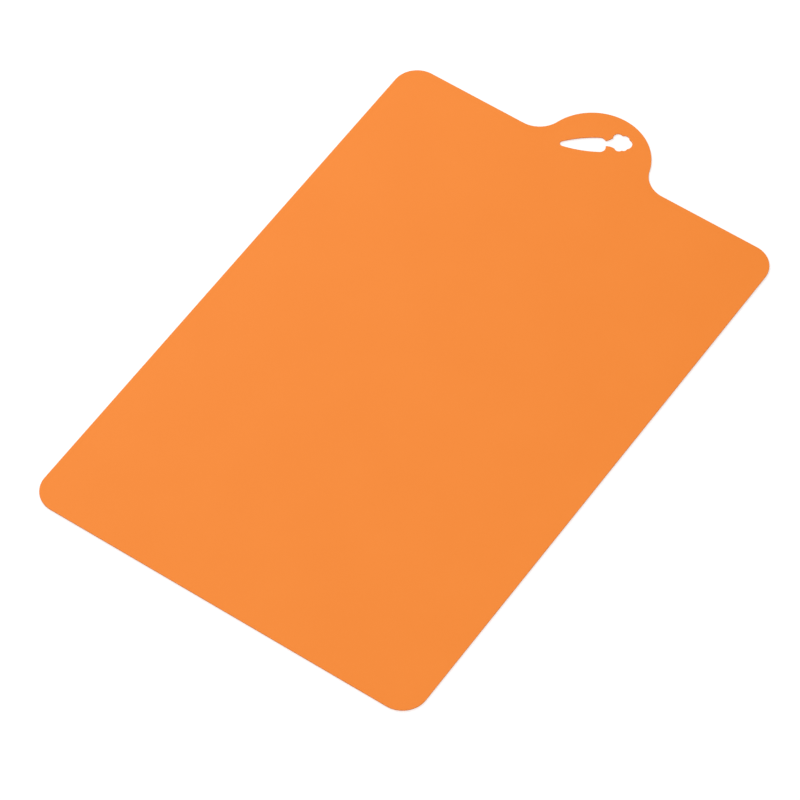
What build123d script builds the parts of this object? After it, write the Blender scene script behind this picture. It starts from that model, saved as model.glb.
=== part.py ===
from build123d import *
import math
import os

# Flexible cutting mat: one die-cut sheet of polypropylene with a tab to hang it by.
# It lies flat with its underside on Z = 0, its near edge towards -Y and its tab towards +Y.
# The origin is at the middle of its whole length and width, on the underside.

# The sheet, in millimetres
mat_width = 250.0
mat_length = 400.0  # from the near edge to the crown of the tab
sheet_thickness = 0.8
corner_radius = 15.0
rim_radius = 0.15  # the die leaves both rims of the cut edge slightly rounded

# The tab on the far edge
tab_radius = 33.0
tab_rise = 1.0  # the tab's centre lies this far beyond the far edge
tab_hollow_radius = 16.5  # the hollow curves that lead from the far edge into the tab

# Where the carrot-shaped hole sits in the tab
carrot_tilt = 32.0  # degrees from +X to the carrot's axis, tip to leaves
tuft_bearing = 69.0  # degrees from +X to the middle of the leaves, seen from the tab's centre
tuft_web = 7.5  # sheet left between the leaves and the tab's rim

# The carrot's root, along its own axis from the tip
root_length = 25.9
root_width = 10.6
root_tip_radius = 1.9
shoulder_length = 3.3  # from where the root is widest to its end

# The stalk and the tuft of leaves, which lean to the left of the root's axis
stalk_left = 2.9  # how far each edge of the stalk is from the root's axis where it leaves the root
stalk_right = 0.95
stalk_hollow_left = 0.25  # how far each edge of the stalk curves in
stalk_hollow_right = 0.5
stalk_length = 8.7  # from the root's end to the middle of the leaves
tuft_lean = 1.65
tuft_radius = 6.2
notch_radius = 0.4  # rounding where two leaves, or a leaf and the stalk, meet

# The leaves' outline round their middle: degrees from the carrot's axis, and a share of tuft_radius.
# Notches and crests take turns. The stalk joins the first notch to the last.
leaf_shares = [
    (140, 0.92),
    (114, 1.13),
    (79, 0.86),
    (54, 1.00),
    (28, 0.89),
    (-20, 1.06),
    (-51, 0.90),
    (-66, 0.97),
    (-83, 0.88),
    (-107, 1.00),
    (-131, 0.88),
]

cut_overrun = 1.0  # the hole's cutter stands out this far past each face of the sheet

# Places worked out from the sizes above
near_edge = -mat_length / 2
tab_centre = Vector(0, mat_length / 2 - tab_radius)
far_edge = tab_centre.Y - tab_rise
side_corner = mat_width / 2 - corner_radius
hollow_rise = tab_hollow_radius - tab_rise  # from the tab's centre to a hollow curve's centre
hollow_reach = math.sqrt((tab_radius + tab_hollow_radius) ** 2 - hollow_rise**2)
hollow_centre = tab_centre + (hollow_reach, hollow_rise)
hollow_angle = math.degrees(math.atan2(hollow_rise, hollow_reach))  # where it meets the tab's circle

tuft_reach = root_length + stalk_length
carrot_axis = Axis.X.direction.rotate(Axis.Z, carrot_tilt)
carrot_left = Axis.Y.direction.rotate(Axis.Z, carrot_tilt)
tuft_way = Axis.X.direction.rotate(Axis.Z, tuft_bearing)
tuft_middle = tab_centre + tuft_way * (tab_radius - tuft_radius - tuft_web)
carrot_tip = tuft_middle - carrot_axis * tuft_reach - carrot_left * tuft_lean
carrot_plane = Plane(origin=carrot_tip, x_dir=carrot_axis)

# The root's flanks bow out from the tip's circle and run along the axis where the root is widest
widest_reach = root_length - shoulder_length
flank_run = widest_reach - root_tip_radius
flank_swell = root_width / 2 - root_tip_radius
flank_radius = (flank_run**2 / flank_swell + root_width / 2 + root_tip_radius) / 2
flank_angle = math.degrees(math.atan2(flank_radius - root_width / 2, -flank_run))


# A point of the leaves' outline on the carrot's plane
def leaf_point(angle, share):
    reach = share * tuft_radius
    turn = math.radians(angle)
    return Vector(tuft_reach + reach * math.cos(turn), tuft_lean + reach * math.sin(turn))


leaf_points = [leaf_point(angle, share) for angle, share in leaf_shares]
neck_left = Vector(root_length, stalk_left)
neck_right = Vector(root_length, -stalk_right)

# The sheet
with BuildPart() as mat_sheet:
    with BuildSketch():
        with BuildLine():
            Line((0, near_edge), (side_corner, near_edge))
            CenterArc((side_corner, near_edge + corner_radius), corner_radius, -90, 90)
            Line((mat_width / 2, near_edge + corner_radius), (mat_width / 2, far_edge - corner_radius))
            CenterArc((side_corner, far_edge - corner_radius), corner_radius, 0, 90)
            Line((side_corner, far_edge), (hollow_reach, far_edge))
            CenterArc(hollow_centre, tab_hollow_radius, -90, hollow_angle - 90)
            CenterArc(tab_centre, tab_radius, hollow_angle, 90 - hollow_angle)
            mirror(about=Plane.YZ)
        make_face()
    extrude(amount=sheet_thickness)

    # The carrot-shaped hole that the mat hangs by
    with BuildSketch(carrot_plane.offset(-cut_overrun)) as carrot:
        with BuildLine():
            CenterArc((root_tip_radius, 0), root_tip_radius, flank_angle, 2 * (180 - flank_angle))
            for side, neck in ((1, neck_left), (-1, neck_right)):
                flank_centre = (widest_reach, side * (root_width / 2 - flank_radius))
                CenterArc(flank_centre, flank_radius, side * 90, side * (flank_angle - 90))
                TangentArc((widest_reach, side * root_width / 2), neck, tangent=Axis.X.direction)
            SagittaArc(leaf_points[0], neck_left, stalk_hollow_left)
            for start, crest, end in zip(leaf_points[0::2], leaf_points[1::2], leaf_points[2::2]):
                ThreePointArc(start, crest, end)
            SagittaArc(neck_right, leaf_points[-1], stalk_hollow_right)
        make_face()
        corners = [neck_left, neck_right] + leaf_points[0::2]
        notches = [carrot.vertices().sort_by_distance(corner)[0] for corner in corners]
        fillet(notches, radius=notch_radius)
    extrude(amount=sheet_thickness + 2 * cut_overrun, mode=Mode.SUBTRACT)

    fillet(mat_sheet.faces().filter_by(Axis.Z).edges(), radius=rim_radius)

mat_sheet.part.label = "mat_sheet"

os.makedirs("parts", exist_ok=True)
export_step(mat_sheet.part, "parts/mat_sheet.step")
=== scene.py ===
import math

import bpy
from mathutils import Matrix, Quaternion, Vector


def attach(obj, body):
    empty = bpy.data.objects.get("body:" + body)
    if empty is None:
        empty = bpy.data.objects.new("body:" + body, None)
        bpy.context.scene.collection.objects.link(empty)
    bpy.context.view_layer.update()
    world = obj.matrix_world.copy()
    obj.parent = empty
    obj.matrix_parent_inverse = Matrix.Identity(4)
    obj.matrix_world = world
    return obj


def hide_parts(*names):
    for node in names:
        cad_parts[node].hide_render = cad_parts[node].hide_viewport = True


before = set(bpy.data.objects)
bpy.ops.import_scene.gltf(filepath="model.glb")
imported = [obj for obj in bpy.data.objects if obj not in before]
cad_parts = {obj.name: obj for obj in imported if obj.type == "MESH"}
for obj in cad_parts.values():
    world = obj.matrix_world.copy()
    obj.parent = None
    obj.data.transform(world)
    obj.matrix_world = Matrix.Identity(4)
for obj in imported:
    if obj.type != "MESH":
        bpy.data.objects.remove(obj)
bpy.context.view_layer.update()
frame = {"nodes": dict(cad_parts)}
print("frame loaded with", ", ".join(frame["nodes"]))

white = (1.0, 1.0, 1.0, 1.0)


# Adds a node, sets its options and fills its inputs, by name or number, with values or links
def addNode(tree, kind, inputs=None, **options):
    node = tree.nodes.new(kind)
    for name, value in options.items():
        setattr(node, name, value)
    for name, value in (inputs or {}).items():
        if isinstance(value, bpy.types.NodeSocket):
            tree.links.new(value, node.inputs[name])
        else:
            node.inputs[name].default_value = value
    return node


def addMaths(tree, operation, first, second):
    return addNode(tree, "ShaderNodeMath", {0: first, 1: second}, operation=operation).outputs[0]


def addSockets(tree, direction, sockets):
    for name, kind in sockets:
        tree.interface.new_socket(name, in_out=direction, socket_type=kind)


def showObject(name, data):
    shown = bpy.data.objects.new(name, data)
    bpy.context.scene.collection.objects.link(shown)
    return shown


# A unit vector that leads back from the target to an eye or a lamp, 0 azimuth looking along +Y
def wayBack(azimuth, elevation):
    turn = math.radians(azimuth)
    lift = math.radians(elevation)
    return Vector((math.sin(turn) * math.cos(lift), -math.cos(turn) * math.cos(lift), math.sin(lift)))


# The camera, placed as for the product shot, in metres and degrees, with the lens and sensor in mm

photoView = {
    "target": (0.00435, -0.03324, 0.0),
    "azimuth": 34.329,
    "elevation": 54.718,
    "roll": 0.1246,
    "distance": 2.74466,
    "lens": 225.42,
    "sensorWidth": 36.0,
}


def placeCamera(view):
    cameraData = bpy.data.cameras.new("photoCamera")
    cameraData.lens = view["lens"]
    cameraData.sensor_width = view["sensorWidth"]
    camera = showObject("photoCamera", cameraData)
    back = wayBack(view["azimuth"], view["elevation"])
    camera.location = Vector(view["target"]) + back * view["distance"]
    camera.rotation_mode = "QUATERNION"
    level = (-back).to_track_quat("-Z", "Y")
    camera.rotation_quaternion = level @ Quaternion((0, 0, 1), math.radians(view["roll"]))
    bpy.context.scene.camera = camera


placeCamera(photoView)
bpy.context.scene.view_settings.view_transform = "Standard"
print("camera placed")


# The white studio: an even sky, two soft boxes and a floor, in metres, degrees and watts

studio = {
    "skyColour": white,
    "skyStrength": 0.4,
    "backdropColour": white,
    "backdropStrength": 1.0,
    "floorColour": (0.8, 0.8, 0.8, 1.0),
    "floorGlow": 0.3,  # only for the eye: lifts the lit floor to white and leaves the shadow
    "floorReach": 6.0,  # from the middle to each edge
    "floorDrop": 0.00005,  # keeps the floor clear of the sheet's underside
    "fadeStart": 0.3,  # how far from the middle the floor begins to fade into the backdrop
    "fadeEnd": 0.7,
}

softBoxes = {
    "keyBox": {"azimuth": 30.0, "elevation": 65.0, "distance": 1.8, "size": 1.2, "watts": 12.9},
    "sideBox": {"azimuth": 240.0, "elevation": 35.0, "distance": 1.8, "size": 1.2, "watts": 16.8},
}


# 1 where the eye sees the backdrop itself, straight, mirrored or through glass
def seenDirectly(tree):
    path = addNode(tree, "ShaderNodeLightPath").outputs
    mirrored = addMaths(tree, "MAXIMUM", path["Is Camera Ray"], path["Is Glossy Ray"])
    return addMaths(tree, "MAXIMUM", mirrored, path["Is Transmission Ray"])


def makeSky():
    sky = bpy.data.worlds.new("whiteStudio")
    bpy.context.scene.world = sky
    sky.use_nodes = True
    tree = sky.node_tree
    tree.nodes.clear()
    lightGiven = {"Color": studio["skyColour"], "Strength": studio["skyStrength"]}
    lighting = addNode(tree, "ShaderNodeBackground", lightGiven).outputs[0]
    lightSeen = {"Color": studio["backdropColour"], "Strength": studio["backdropStrength"]}
    backdrop = addNode(tree, "ShaderNodeBackground", lightSeen).outputs[0]
    skyParts = {0: seenDirectly(tree), 1: lighting, 2: backdrop}
    mixed = addNode(tree, "ShaderNodeMixShader", skyParts).outputs[0]
    addNode(tree, "ShaderNodeOutputWorld", {"Surface": mixed})


# Matt paper that the eye sees as white, and as the backdrop further out
def makeFloorPaper():
    paper = bpy.data.materials.new("floorPaper")
    paper.use_nodes = True
    tree = paper.node_tree
    tree.nodes.clear()
    seen = seenDirectly(tree)
    matt = addNode(tree, "ShaderNodeBsdfDiffuse", {"Color": studio["floorColour"]}).outputs[0]
    glowSeen = {"Color": white, "Strength": addMaths(tree, "MULTIPLY", seen, studio["floorGlow"])}
    glow = addNode(tree, "ShaderNodeEmission", glowSeen).outputs[0]
    near = addNode(tree, "ShaderNodeAddShader", {0: matt, 1: glow}).outputs[0]
    farSeen = {"Color": studio["backdropColour"], "Strength": studio["backdropStrength"]}
    far = addNode(tree, "ShaderNodeEmission", farSeen).outputs[0]
    place = addNode(tree, "ShaderNodeTexCoord").outputs["Object"]
    away = addNode(tree, "ShaderNodeVectorMath", {0: place}, operation="LENGTH").outputs["Value"]
    fadeRange = {"Value": away, "From Min": studio["fadeStart"], "From Max": studio["fadeEnd"]}
    fade = addNode(tree, "ShaderNodeMapRange", fadeRange, interpolation_type="SMOOTHSTEP").outputs[0]
    fadeSeen = addMaths(tree, "MULTIPLY", seen, fade)
    both = addNode(tree, "ShaderNodeMixShader", {0: fadeSeen, 1: near, 2: far}).outputs[0]
    addNode(tree, "ShaderNodeOutputMaterial", {"Surface": both})
    return paper


def makeFloor():
    reach = studio["floorReach"]
    floorMesh = bpy.data.meshes.new("studioFloor")
    around = ((-reach, -reach), (reach, -reach), (reach, reach), (-reach, reach))
    floorMesh.from_pydata([(x, y, -studio["floorDrop"]) for x, y in around], [], [(0, 1, 2, 3)])
    floorMesh.materials.append(makeFloorPaper())
    showObject("studioFloor", floorMesh)


def makeSoftBox(name, box):
    lampData = bpy.data.lights.new(name, "AREA")
    lampData.shape = "SQUARE"
    lampData.size = box["size"]
    lampData.energy = box["watts"]
    lamp = showObject(name, lampData)
    back = wayBack(box["azimuth"], box["elevation"])
    lamp.location = back * box["distance"]
    lamp.rotation_mode = "QUATERNION"
    lamp.rotation_quaternion = (-back).to_track_quat("-Z", "Y")
    lamp.visible_camera = False


makeSky()
makeFloor()
for boxName, softBox in softBoxes.items():
    makeSoftBox(boxName, softBox)
print("studio lit")


# Orange polypropylene, as it leaves the calender rolls and the die. Sizes are in metres.

faceFinish = {
    "deepColour": (0.911, 0.2415, 0.0212, 1.0),
    "paleColour": (0.920, 0.2475, 0.0232, 1.0),
    "cloudSize": 0.045,
    "grainSize": 0.00032,
    "grainStretch": (1.0, 1.0, 1.0),
    "grainDepth": 0.000012,
    "roughness": 0.62,
    "roughnessSpread": 0.05,
}

undersideFinish = {
    "deepColour": (0.908, 0.2400, 0.0200, 1.0),
    "paleColour": (0.918, 0.2470, 0.0220, 1.0),
    "cloudSize": 0.060,
    "grainSize": 0.00055,
    "grainStretch": (1.0, 1.0, 1.0),
    "grainDepth": 0.000015,
    "roughness": 0.50,
    "roughnessSpread": 0.04,
}

cutFinish = {
    "deepColour": (0.900, 0.2340, 0.0180, 1.0),
    "paleColour": (0.925, 0.2800, 0.0450, 1.0),  # where the die has whitened the plastic
    "cloudSize": 0.0012,
    "grainSize": 0.00012,
    "grainStretch": (1.0, 1.0, 0.08),  # drawn out along the way the die went through
    "grainDepth": 0.000008,
    "roughness": 0.38,
    "roughnessSpread": 0.08,
}

plasticGloss = {"IOR": 1.49, "Specular IOR Level": 0.35}
noiseSpan = (0.3, 0.7)  # nearly all of a noise texture's values lie between these
cloudDetail = 2.0
grainDetail = 3.0

grainInputs = {
    "deepColour": ("Deep Colour", "NodeSocketColor"),
    "paleColour": ("Pale Colour", "NodeSocketColor"),
    "cloudSize": ("Cloud Size", "NodeSocketFloat"),
    "grainSize": ("Grain Size", "NodeSocketFloat"),
    "grainStretch": ("Grain Stretch", "NodeSocketVector"),
    "roughness": ("Roughness", "NodeSocketFloat"),
    "roughnessSpread": ("Roughness Spread", "NodeSocketFloat"),
}
grainOutputs = (
    ("Colour", "NodeSocketColor"),
    ("Roughness", "NodeSocketFloat"),
    ("Height", "NodeSocketFloat"),
)


# Fine grain with slow colour clouds, shared by the faces and the cut edge
def makeSheetGrain():
    group = bpy.data.node_groups.new("sheetGrain", "ShaderNodeTree")
    addSockets(group, "INPUT", grainInputs.values())
    addSockets(group, "OUTPUT", grainOutputs)
    given = addNode(group, "NodeGroupInput").outputs
    place = addNode(group, "ShaderNodeTexCoord").outputs["Object"]
    stretch = {0: place, 1: given["Grain Stretch"]}
    stretched = addNode(group, "ShaderNodeVectorMath", stretch, operation="MULTIPLY").outputs[0]

    def noise(size, detail):
        scale = addMaths(group, "DIVIDE", 1.0, size)
        texture = {"Vector": stretched, "Scale": scale, "Detail": detail}
        return addNode(group, "ShaderNodeTexNoise", texture).outputs[0]

    def mapNoise(value, lowest, highest):
        span = {"Value": value, "From Min": noiseSpan[0], "From Max": noiseSpan[1]}
        span.update({"To Min": lowest, "To Max": highest})
        return addNode(group, "ShaderNodeMapRange", span).outputs[0]

    cloudShare = mapNoise(noise(given["Cloud Size"], cloudDetail), 0.0, 1.0)
    # Sockets 0, 6 and 7 of a colour Mix are its factor and its two colours
    clouds = {0: cloudShare, 6: given["Deep Colour"], 7: given["Pale Colour"]}
    colour = addNode(group, "ShaderNodeMix", clouds, data_type="RGBA").outputs[2]
    grain = noise(given["Grain Size"], grainDetail)
    smoothest = addMaths(group, "SUBTRACT", given["Roughness"], given["Roughness Spread"])
    roughest = addMaths(group, "ADD", given["Roughness"], given["Roughness Spread"])
    roughness = mapNoise(grain, smoothest, roughest)
    addNode(group, "NodeGroupOutput", {"Colour": colour, "Roughness": roughness, "Height": grain})
    return group


def makeFinish(name, grainGroup, finish):
    material = bpy.data.materials.new(name)
    material.use_nodes = True
    tree = material.node_tree
    tree.nodes.clear()
    grain = addNode(tree, "ShaderNodeGroup", node_tree=grainGroup)
    for key, (socketName, _) in grainInputs.items():
        grain.inputs[socketName].default_value = finish[key]
    made = grain.outputs
    relief = {"Height": made["Height"], "Distance": finish["grainDepth"]}
    bump = addNode(tree, "ShaderNodeBump", relief).outputs[0]
    surface = {"Base Color": made["Colour"], "Roughness": made["Roughness"], "Normal": bump}
    plastic = addNode(tree, "ShaderNodeBsdfPrincipled", {**surface, **plasticGloss}).outputs[0]
    addNode(tree, "ShaderNodeOutputMaterial", {"Surface": plastic})
    return material


sheetGrain = makeSheetGrain()
cuttingFace = makeFinish("cuttingFace", sheetGrain, faceFinish)
underside = makeFinish("underside", sheetGrain, undersideFinish)
cutEdge = makeFinish("cutEdge", sheetGrain, cutFinish)
print("finishes mixed")


# The sheet, in metres: underside on z = 0, tab towards +Y

sheetSizes = {
    "width": 0.25,
    "length": 0.4,  # from the near edge to the crown of the tab
    "thickness": 0.0008,
    "cornerRadius": 0.015,
    "tabRadius": 0.033,
    "tabRise": 0.001,  # the tab's centre lies this far beyond the far edge
    "hollowRadius": 0.0165,  # leads from the far edge into the tab
    "rimRadius": 0.00015,
    "rimSteps": 5,
    "rimBand": 0.00005,  # flat strip beside each rounded rim
    "chordError": 0.000002,  # how far a chord may lie from its arc
    "fewestChords": 2,  # in the shortest arc
    "weldReach": 0.000001,
    "flatNormal": 0.999,  # a face whose normal has less than this along z belongs to the cut edge
}

carrotSizes = {
    "tilt": 32.0,  # degrees from +X to the carrot's axis, tip to leaves
    "tuftBearing": 69.0,  # degrees from +X to the leaves, seen from the tab's centre
    "tuftWeb": 0.0075,  # sheet left between the leaves and the tab's rim
    "rootLength": 0.0259,
    "rootWidth": 0.0106,
    "tipRadius": 0.0019,
    "shoulderLength": 0.0033,
    "stalkLeft": 0.0029,  # from the root's axis to each edge of the stalk, where it leaves the root
    "stalkRight": 0.00095,
    "stalkHollowLeft": 0.00025,  # how far each edge of the stalk curves in
    "stalkHollowRight": 0.0005,
    "stalkLength": 0.0087,  # from the root's end to the middle of the leaves
    "tuftLean": 0.00165,  # from the root's axis to the middle of the leaves
    "tuftRadius": 0.0062,
    "notchRadius": 0.0004,
    # Notches and crests in turn: degrees from the carrot's axis, share of the tuft's radius
    "leaves": [
        (140, 0.92),
        (114, 1.13),
        (79, 0.86),
        (54, 1.00),
        (28, 0.89),
        (-20, 1.06),
        (-51, 0.90),
        (-66, 0.97),
        (-83, 0.88),
        (-107, 1.00),
        (-131, 0.88),
    ],
}

quarterTurn = math.pi / 2


def polar(centre, reach, angle):
    return Vector((centre[0] + reach * math.cos(angle), centre[1] + reach * math.sin(angle)))


def angleFrom(centre, point):
    return math.atan2(point[1] - centre[1], point[0] - centre[0])


# The turn from one angle to another, the given way round: 1 is counterclockwise
def turnBetween(start, end, way):
    return way * ((way * (end - start)) % math.tau)


# An arc is its centre and radius, the angle it starts from and the turn it makes
def makeArc(centre, radius, start, turn):
    return {"centre": Vector(centre), "radius": radius, "from": start, "turn": turn}


def arcFromEnds(centre, start, end, way):
    startAngle = angleFrom(centre, start)
    turn = turnBetween(startAngle, angleFrom(centre, end), way)
    return makeArc(centre, (start - centre).length, startAngle, turn)


# The arc through three points in a row
def arcThrough(start, middle, end):
    first = middle - start
    second = end - start
    cross = first.x * second.y - first.y * second.x
    acrossFirst = Vector((first.y, -first.x))
    acrossSecond = Vector((second.y, -second.x))
    offset = acrossSecond * first.length_squared - acrossFirst * second.length_squared
    return arcFromEnds(start + offset / (2 * cross), start, end, 1 if cross > 0 else -1)


# An arc that bows to the left of the way from start to end
def arcBowed(start, end, rise):
    along = (end - start).normalized()
    return arcThrough(start, (start + end) / 2 + Vector((-along.y, along.x)) * rise, end)


# Rounds the notch between two arcs that run counterclockwise round a hole, and shortens both.
# The rounding's centre lies in the sheet, on their right.
def roundNotch(before, after, radius):
    wayBefore = math.copysign(1, before["turn"])
    wayAfter = math.copysign(1, after["turn"])
    reachBefore = before["radius"] + wayBefore * radius
    reachAfter = after["radius"] + wayAfter * radius
    apart = after["centre"] - before["centre"]
    along = (reachBefore**2 - reachAfter**2 + apart.length_squared) / (2 * apart.length)
    aside = math.sqrt(reachBefore**2 - along**2)
    ahead = apart.normalized()
    left = Vector((-ahead.y, ahead.x))
    corner = polar(before["centre"], before["radius"], before["from"] + before["turn"])
    choices = [before["centre"] + ahead * along + left * aside * side for side in (1, -1)]
    centre = min(choices, key=lambda choice: (choice - corner).length)
    leavesAt = angleFrom(before["centre"], centre)
    joinsAt = angleFrom(after["centre"], centre)
    lastAngle = after["from"] + after["turn"]
    before["turn"] = turnBetween(before["from"], leavesAt, wayBefore)
    after["from"] = joinsAt
    after["turn"] = turnBetween(joinsAt, lastAngle, wayAfter)
    start = polar(before["centre"], before["radius"], leavesAt)
    end = polar(after["centre"], after["radius"], joinsAt)
    return arcFromEnds(centre, start, end, -1)


# The points of a run of arcs, close enough together to keep each chord's error small
def pointsAlong(arcs):
    points = []
    for arc in arcs:
        widestTurn = 2 * math.acos(1 - sheetSizes["chordError"] / arc["radius"])
        chords = max(sheetSizes["fewestChords"], math.ceil(abs(arc["turn"]) / widestTurn))
        for number in range(chords + 1):
            point = polar(arc["centre"], arc["radius"], arc["from"] + arc["turn"] * number / chords)
            if not points or (point - points[-1]).length > sheetSizes["chordError"]:
                points.append(point)
    return points


# The right half of the outline runs from the near edge to the crown of the tab, and the left half back
def drawSheetOutline(sheet):
    corner = sheet["cornerRadius"]
    hollow = sheet["hollowRadius"]
    side = sheet["width"] / 2 - corner
    nearEdge = -sheet["length"] / 2
    tabCentre = Vector((0, sheet["length"] / 2 - sheet["tabRadius"]))
    farEdge = tabCentre.y - sheet["tabRise"]
    rise = hollow - sheet["tabRise"]
    reach = math.sqrt((sheet["tabRadius"] + hollow) ** 2 - rise**2)
    lean = math.atan2(rise, reach)  # where a hollow curve meets the tab's circle
    rightHalf = pointsAlong([
        makeArc((side, nearEdge + corner), corner, -quarterTurn, quarterTurn),
        makeArc((side, farEdge - corner), corner, 0, quarterTurn),
        makeArc(tabCentre + Vector((reach, rise)), hollow, -quarterTurn, lean - quarterTurn),
        makeArc(tabCentre, sheet["tabRadius"], lean, quarterTurn - lean),
    ])
    leftHalf = [Vector((-point.x, point.y)) for point in reversed(rightHalf[:-1])]
    return rightHalf + leftHalf


# A shoulder leaves its flank along the carrot's axis and bends in to the neck
def shoulderCentre(flankEnd, neck):
    across = neck - flankEnd
    return Vector((flankEnd.x, flankEnd.y + across.length_squared / (2 * across.y)))


# The carrot's outline with its tip on the origin and its axis along +X, counterclockwise
def drawUprightCarrot(carrot, tuft):
    half = carrot["rootWidth"] / 2
    tip = carrot["tipRadius"]
    widest = carrot["rootLength"] - carrot["shoulderLength"]
    run = widest - tip
    flankRadius = (run**2 / (half - tip) + half + tip) / 2
    flankAngle = math.atan2(flankRadius - half, -run)
    flankTurn = flankAngle - quarterTurn
    neckLeft = Vector((carrot["rootLength"], carrot["stalkLeft"]))
    neckRight = Vector((carrot["rootLength"], -carrot["stalkRight"]))
    widestLeft = Vector((widest, half))
    widestRight = Vector((widest, -half))
    leafPoints = []
    for angle, share in reversed(carrot["leaves"]):
        leafPoints.append(polar(tuft, share * carrot["tuftRadius"], math.radians(angle)))

    # Shoulder, stalk, leaves, stalk and shoulder, with sharp notches between them
    sharp = [arcFromEnds(shoulderCentre(widestRight, neckRight), widestRight, neckRight, 1)]
    sharp.append(arcBowed(neckRight, leafPoints[0], carrot["stalkHollowRight"]))
    for start, crest, end in zip(leafPoints[0::2], leafPoints[1::2], leafPoints[2::2]):
        sharp.append(arcThrough(start, crest, end))
    sharp.append(arcBowed(leafPoints[-1], neckLeft, carrot["stalkHollowLeft"]))
    sharp.append(arcFromEnds(shoulderCentre(widestLeft, neckLeft), neckLeft, widestLeft, 1))

    # The same with rounded notches, then the left flank, the tip and the right flank
    arcs = []
    for before, after in zip(sharp, sharp[1:]):
        notch = roundNotch(before, after, carrot["notchRadius"])
        arcs += [before, notch]
    arcs.append(sharp[-1])
    arcs.append(makeArc((widest, half - flankRadius), flankRadius, quarterTurn, flankTurn))
    arcs.append(makeArc((tip, 0), tip, flankAngle, 2 * (math.pi - flankAngle)))
    arcs.append(makeArc((widest, flankRadius - half), flankRadius, -flankAngle, flankTurn))
    return pointsAlong(arcs)


# The carrot's outline where it sits in the tab
def drawCarrot(sheet, carrot):
    tuft = Vector((carrot["rootLength"] + carrot["stalkLength"], carrot["tuftLean"]))
    tabCentre = Vector((0, sheet["length"] / 2 - sheet["tabRadius"]))
    tuftReach = sheet["tabRadius"] - carrot["tuftRadius"] - carrot["tuftWeb"]
    tuftInTab = polar(tabCentre, tuftReach, math.radians(carrot["tuftBearing"]))
    tilt = math.radians(carrot["tilt"])
    axis = Vector((math.cos(tilt), math.sin(tilt)))
    left = Vector((-axis.y, axis.x))
    placed = []
    for point in drawUprightCarrot(carrot, tuft):
        placed.append(tuftInTab + axis * (point.x - tuft.x) + left * (point.y - tuft.y))
    placed.reverse()  # clockwise, so that the sheet lies on the same side as along the outline
    return placed


def makeOutlineCurve(loops):
    curve = bpy.data.curves.new("sheetOutline", "CURVE")
    curve.dimensions = "3D"
    for loop in loops:
        if (loop[0] - loop[-1]).length < sheetSizes["chordError"]:
            loop.pop()  # it repeats the first point
        spline = curve.splines.new("POLY")
        spline.points.add(len(loop) - 1)
        for point, place in zip(spline.points, loop):
            point.co = (place.x, place.y, 0, 1)
        spline.use_cyclic_u = True
    return showObject("sheetOutline", curve)


# Carries the rim's rounded section along the outlines. In the section, x leads out of the sheet and
# y down, so the top is at minus the thickness.
def addRim(tree, given):
    top = addMaths(tree, "MULTIPLY", given["Thickness"], -1.0)
    flatWidth = addMaths(tree, "ADD", given["Rim Radius"], given["Rim Band"])
    inset = addMaths(tree, "MULTIPLY", flatWidth, -1.0)
    corners = ((inset, top), (0.0, top), (0.0, 0.0), (inset, 0.0))
    places = {}
    for number, (x, y) in enumerate(corners, 1):
        places[f"Point {number}"] = addNode(tree, "ShaderNodeCombineXYZ", {"X": x, "Y": y}).outputs[0]
    section = addNode(tree, "GeometryNodeCurvePrimitiveQuadrilateral", places, mode="POINTS").outputs[0]
    ends = {"Geometry": section, "Cyclic": False}
    opened = addNode(tree, "GeometryNodeSetSplineCyclic", ends).outputs[0]
    rounding = {"Curve": opened, "Count": given["Rim Steps"], "Radius": given["Rim Radius"]}
    rounded = addNode(tree, "GeometryNodeFilletCurve", rounding, mode="POLY").outputs[0]
    path = {"Curve": given["Outline"]}
    upright = addNode(tree, "GeometryNodeSetCurveNormal", path, mode="Z_UP").outputs[0]
    swept = {"Curve": upright, "Profile Curve": rounded}
    return addNode(tree, "GeometryNodeCurveToMesh", swept).outputs[0]


# Fills the flat face inside the rim's open loops on one side of half the thickness, at z = 0
def addFace(tree, given, rim, side):
    neighbours = addNode(tree, "GeometryNodeInputMeshEdgeNeighbors").outputs[0]
    alone = {2: neighbours, 3: 1}  # Compare takes whole numbers on sockets 2 and 3
    openEdge = addNode(tree, "FunctionNodeCompare", alone, data_type="INT", operation="EQUAL").outputs[0]
    place = addNode(tree, "GeometryNodeInputPosition").outputs[0]
    height = addNode(tree, "ShaderNodeSeparateXYZ", {0: place}).outputs["Z"]
    middle = addMaths(tree, "MULTIPLY", given["Thickness"], 0.5)
    level = {0: height, 1: middle}
    onSide = addNode(tree, "FunctionNodeCompare", level, data_type="FLOAT", operation=side).outputs[0]
    both = {0: openEdge, 1: onSide}
    chosen = addNode(tree, "FunctionNodeBooleanMath", both, operation="AND").outputs[0]
    loops = addNode(tree, "GeometryNodeMeshToCurve", {"Mesh": rim, "Selection": chosen}).outputs[0]
    return addNode(tree, "GeometryNodeFillCurve", {"Curve": loops}, mode="TRIANGLES").outputs[0]


# The rims and the wall between them take the cut finish, the flat faces their own
def addFinishes(tree, given, sheet):
    facing = addNode(tree, "GeometryNodeInputNormal").outputs[0]
    upward = addNode(tree, "ShaderNodeSeparateXYZ", {0: facing}).outputs["Z"]
    flat = given["Flat Normal"]
    flatDown = addMaths(tree, "MULTIPLY", flat, -1.0)
    cut = {"Geometry": sheet, "Material": given["Cut Finish"]}
    finished = addNode(tree, "GeometryNodeSetMaterial", cut).outputs[0]
    for side, limit, finish in (
        ("GREATER_THAN", flat, "Face Finish"),
        ("LESS_THAN", flatDown, "Underside Finish"),
    ):
        lean = {0: upward, 1: limit}
        chosen = addNode(tree, "FunctionNodeCompare", lean, data_type="FLOAT", operation=side).outputs[0]
        dressed = {"Geometry": finished, "Selection": chosen, "Material": given[finish]}
        finished = addNode(tree, "GeometryNodeSetMaterial", dressed).outputs[0]
    return finished


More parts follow.
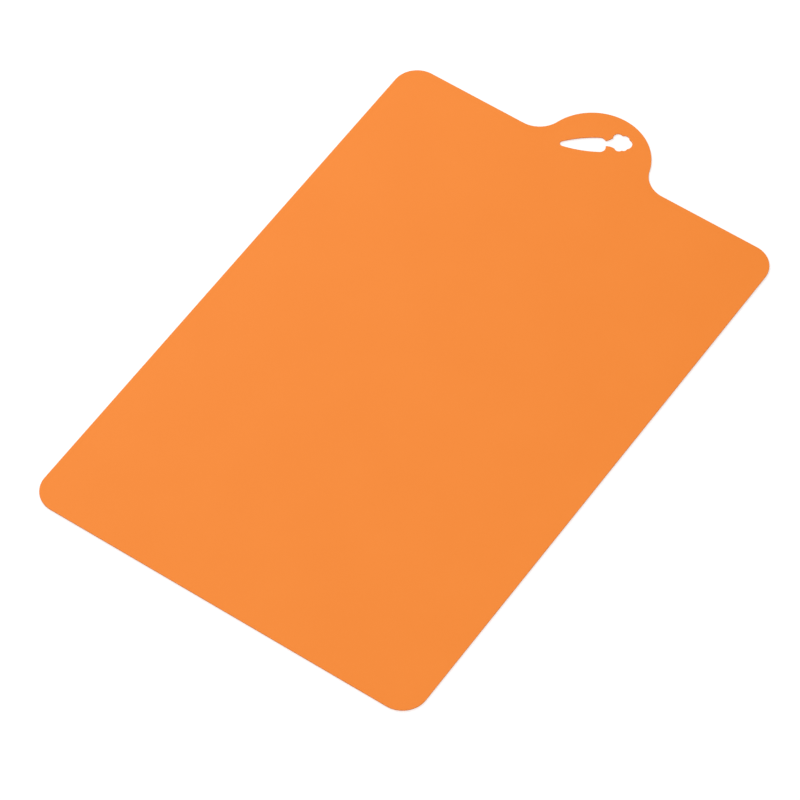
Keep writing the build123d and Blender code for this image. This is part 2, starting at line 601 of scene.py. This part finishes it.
sheetInputs = (
    ("Outline", "NodeSocketGeometry"),
    ("Thickness", "NodeSocketFloat"),
    ("Rim Radius", "NodeSocketFloat"),
    ("Rim Steps", "NodeSocketInt"),
    ("Rim Band", "NodeSocketFloat"),
    ("Weld Reach", "NodeSocketFloat"),
    ("Flat Normal", "NodeSocketFloat"),
    ("Face Finish", "NodeSocketMaterial"),
    ("Underside Finish", "NodeSocketMaterial"),
    ("Cut Finish", "NodeSocketMaterial"),
)


# A tree that turns the outlines into a sheet with rounded rims
def makeSheetTree():
    tree = bpy.data.node_groups.new("dieCutSheet", "GeometryNodeTree")
    tree.is_modifier = True
    addSockets(tree, "INPUT", sheetInputs)
    addSockets(tree, "OUTPUT", (("Sheet", "NodeSocketGeometry"),))
    given = addNode(tree, "NodeGroupInput").outputs

    rim = addRim(tree, given)
    lift = addNode(tree, "ShaderNodeCombineXYZ", {"Z": given["Thickness"]}).outputs[0]
    lifted = {"Geometry": addFace(tree, given, rim, "GREATER_THAN"), "Translation": lift}
    upper = addNode(tree, "GeometryNodeTransform", lifted).outputs[0]
    flipped = {"Mesh": addFace(tree, given, rim, "LESS_THAN")}
    lower = addNode(tree, "GeometryNodeFlipFaces", flipped).outputs[0]
    joined = addNode(tree, "GeometryNodeJoinGeometry")
    for piece in (rim, upper, lower):
        tree.links.new(piece, joined.inputs[0])
    weld = {"Geometry": joined.outputs[0], "Distance": given["Weld Reach"]}
    welded = addNode(tree, "GeometryNodeMergeByDistance", weld).outputs[0]
    smooth = addNode(tree, "GeometryNodeSetShadeSmooth", {"Geometry": welded}).outputs[0]
    real = addNode(tree, "GeometryNodeRealizeInstances", {"Geometry": smooth}).outputs[0]
    addNode(tree, "NodeGroupOutput", {"Sheet": addFinishes(tree, given, real)})
    return tree


def makeSheet(sheet, carrot):
    outline = makeOutlineCurve([drawSheetOutline(sheet), drawCarrot(sheet, carrot)])
    tree = makeSheetTree()
    cutter = outline.modifiers.new("dieCutSheet", "NODES")
    cutter.node_group = tree
    inputs = [item for item in tree.interface.items_tree if item.in_out == "INPUT"]
    identifiers = {item.name: item.identifier for item in inputs}
    settings = {
        "Thickness": sheet["thickness"],
        "Rim Radius": sheet["rimRadius"],
        "Rim Steps": sheet["rimSteps"],
        "Rim Band": sheet["rimBand"],
        "Weld Reach": sheet["weldReach"],
        "Flat Normal": sheet["flatNormal"],
        "Face Finish": cuttingFace,
        "Underside Finish": underside,
        "Cut Finish": cutEdge,
    }
    for name, value in settings.items():
        cutter[identifiers[name]] = value
    evaluated = outline.evaluated_get(bpy.context.evaluated_depsgraph_get())
    sheetMesh = bpy.data.meshes.new_from_object(evaluated)
    sheetMesh.name = "cuttingSheet"
    sheetMesh.materials.pop(index=0)  # the empty slot that the outline came with
    outline.modifiers.remove(cutter)
    bpy.data.objects.remove(outline)
    return showObject("cuttingSheet", sheetMesh)


cuttingSheet = makeSheet(sheetSizes, carrotSizes)
print("sheet cut:", len(cuttingSheet.data.polygons), "faces")

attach(cuttingSheet, "root")
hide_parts("mat_sheet")
